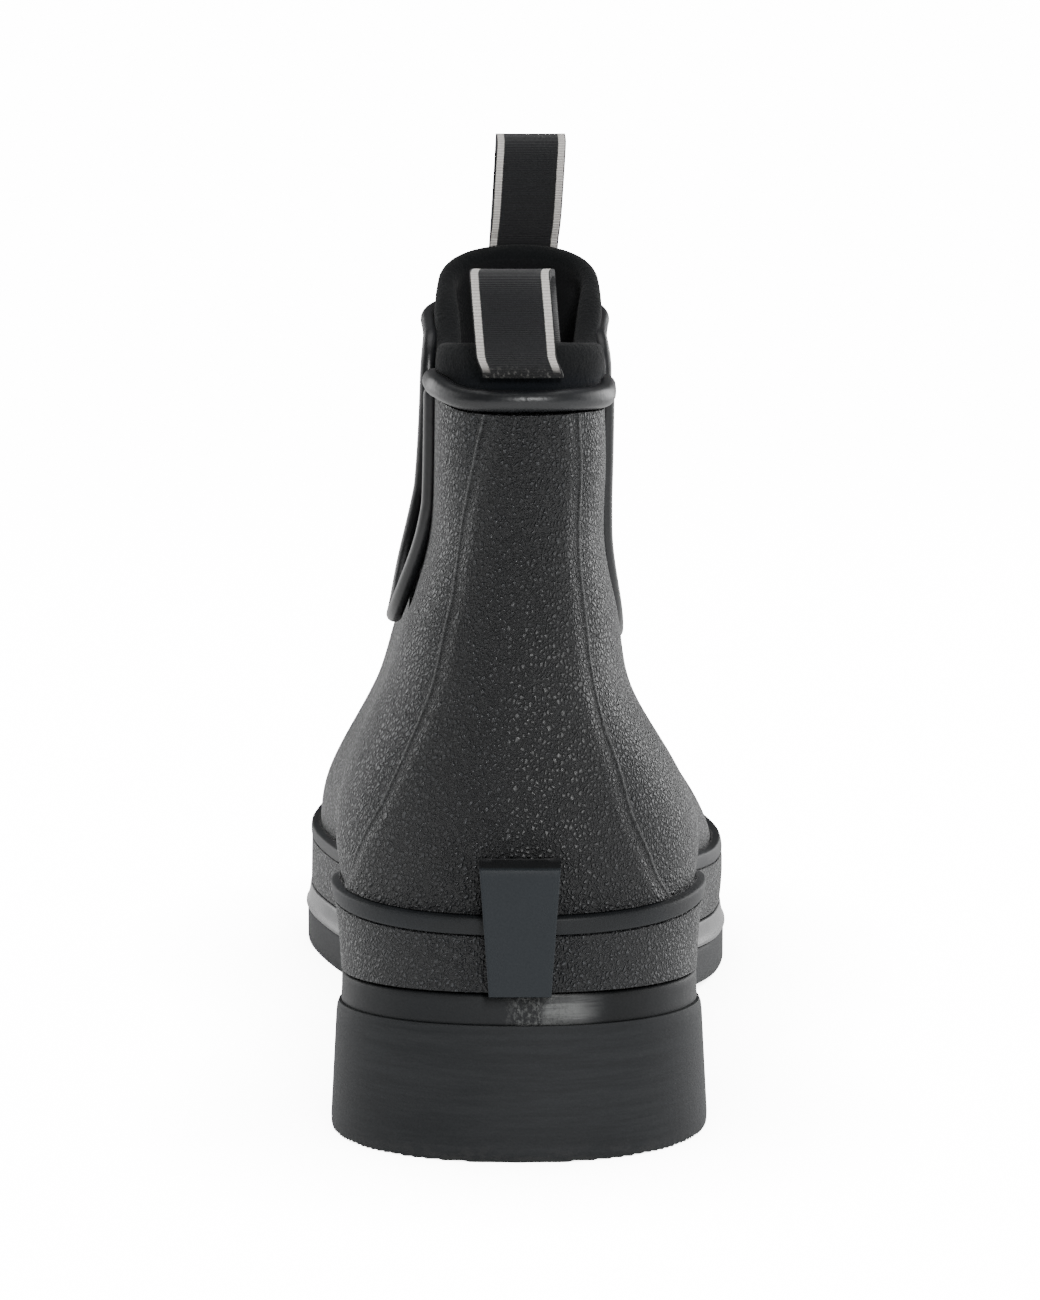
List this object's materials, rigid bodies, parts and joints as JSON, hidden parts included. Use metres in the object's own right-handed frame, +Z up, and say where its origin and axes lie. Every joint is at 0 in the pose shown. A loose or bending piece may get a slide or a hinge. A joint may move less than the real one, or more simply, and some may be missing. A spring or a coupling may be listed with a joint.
{
  "type": "rubber boot",
  "caption": "Right ankle-high rubber boot of the chelsea kind, with elastic side gussets, a knit sleeve, webbing pull loops and a lugged sole with a heel.",
  "frame": {"origin": "middle of the heel's base, on the floor", "axes": "+Z up from the floor, +Y along the foot towards the toe, +X to the outer side of the right foot"},
  "size_m": [0.0998, 0.2807, 0.1886],
  "materials": {
    "grained_rubber": "fine leather-like grain, half matt",
    "smooth_rubber": "smooth, glossy",
    "sole_rubber": "matt, faint moulding marks",
    "slate_rubber": "smooth, matt",
    "knit": "fuzzy stretch knit on foam",
    "footbed": "brushed cloth on foam",
    "tape": "ribbed woven tape"
  },
  "bodies": {
    "root": {"outsole": "sole_rubber", "midsole": "smooth_rubber", "insole": "footbed", "upper": "grained_rubber", "foxing": "grained_rubber", "counter": "grained_rubber", "heel_tab": "slate_rubber", "rear_rim_piping": "smooth_rubber", "front_rim_piping": "smooth_rubber", "gusset_piping_lateral": "smooth_rubber", "gusset_piping_medial": "smooth_rubber", "bootie": "knit", "pull_loop_rear": "tape", "pull_loop_front": "tape"}
  },
  "joints": []
}
